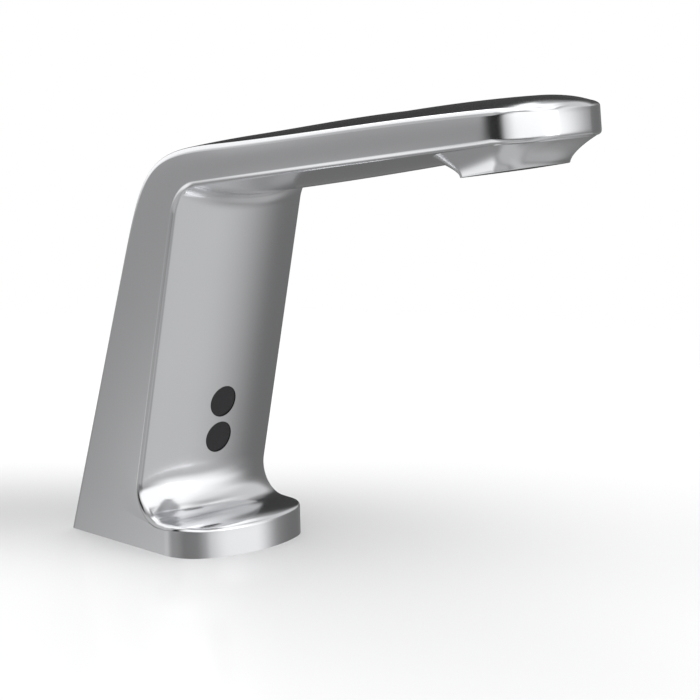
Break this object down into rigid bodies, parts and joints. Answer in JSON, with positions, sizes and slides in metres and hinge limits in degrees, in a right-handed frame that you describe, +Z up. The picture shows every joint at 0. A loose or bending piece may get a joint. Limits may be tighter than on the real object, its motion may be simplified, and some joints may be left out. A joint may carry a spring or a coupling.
{
  "type": "sensor tap",
  "caption": "Deck mounted sensor tap: leaning column on a low foot, rising spout with a recessed jet outlet, infrared sensor lenses in the column front.",
  "frame": {"origin": "on the deck plane under the foot, on the axis of the deck hole, 22 mm in front of the back edge of the flat sides", "axes": "+Z up from the deck, -Y towards the user along the spout, X across with the flat sides at plus and minus 27 mm"},
  "size_m": [0.054, 0.1945, 0.1532],
  "materials": {
    "chrome": "polished chrome plating on a brass casting",
    "brass": "machined brass",
    "steel": "stainless steel",
    "zinc_steel": "zinc plated steel",
    "rubber": "matt black rubber",
    "pale_plastic": "natural white plastic",
    "dark_plastic": "glass filled black plastic",
    "red_plastic": "red plastic",
    "jet_black": "black plastic",
    "lens_black": "black plastic that lets infrared light through",
    "magnet": "nickel plated magnet",
    "copper": "enamelled copper wire",
    "board_green": "green solder resist on glass fibre board"
  },
  "bodies": {
    "tap": {"body": "chrome", "base_plate": "brass", "plate_screws": "steel", "base_gasket": "rubber", "inlet_connector": "brass", "inlet_ring": "rubber", "inlet_filter": "steel", "check_valve_cage": "pale_plastic", "check_valve_spring": "steel", "cable_gland": "rubber", "valve_cradle": "dark_plastic", "cradle_screws": "steel", "valve_body": "pale_plastic", "diaphragm": "rubber", "valve_bonnet": "dark_plastic", "bonnet_screws": "steel", "plunger_tube": "steel", "plunger_spring": "steel", "fixed_core": "steel", "latch_magnet": "magnet", "coil_bobbin": "pale_plastic", "coil_winding": "copper", "coil_yoke": "zinc_steel", "coil_nut": "steel", "water_tube": "pale_plastic", "outlet_ring": "rubber", "nozzle_bush": "pale_plastic", "bush_ring": "rubber", "jet_seal": "rubber", "jet_housing": "jet_black", "jet_plate": "jet_black", "jet_screens": "steel", "upper_lens": "lens_black", "lower_lens": "lens_black", "lens_gasket": "rubber", "sensor_housing": "dark_plastic", "ir_emitter": "lens_black", "ir_receiver": "lens_black", "circuit_board": "board_green", "sensor_cover": "dark_plastic", "sensor_screws": "steel"},
    "plunger_body": {"plunger": "steel", "plunger_tip": "rubber"},
    "diaphragm_insert_body": {"diaphragm_insert": "pale_plastic"},
    "check_valve_poppet_body": {"check_valve_poppet": "red_plastic"}
  },
  "joints": [
    {"name": "plunger_slide", "type": "slide", "parent": "tap", "child": "plunger_body", "axis": [1, 0, 0], "range_m": [0, 0.002], "deforming": ["plunger_spring"]},
    {"name": "insert_lift", "type": "slide", "parent": "tap", "child": "diaphragm_insert_body", "axis": [1, 0, 0], "range_m": [0, 0.0015], "deforming": ["diaphragm"]},
    {"name": "check_valve_lift", "type": "slide", "parent": "tap", "child": "check_valve_poppet_body", "axis": [0, 0, 1], "range_m": [0, 0.0014], "deforming": ["check_valve_spring"]}
  ],
  "couplings": [
    {"joint": "insert_lift", "follows": "plunger_slide", "ratio": 0.75}
  ]
}
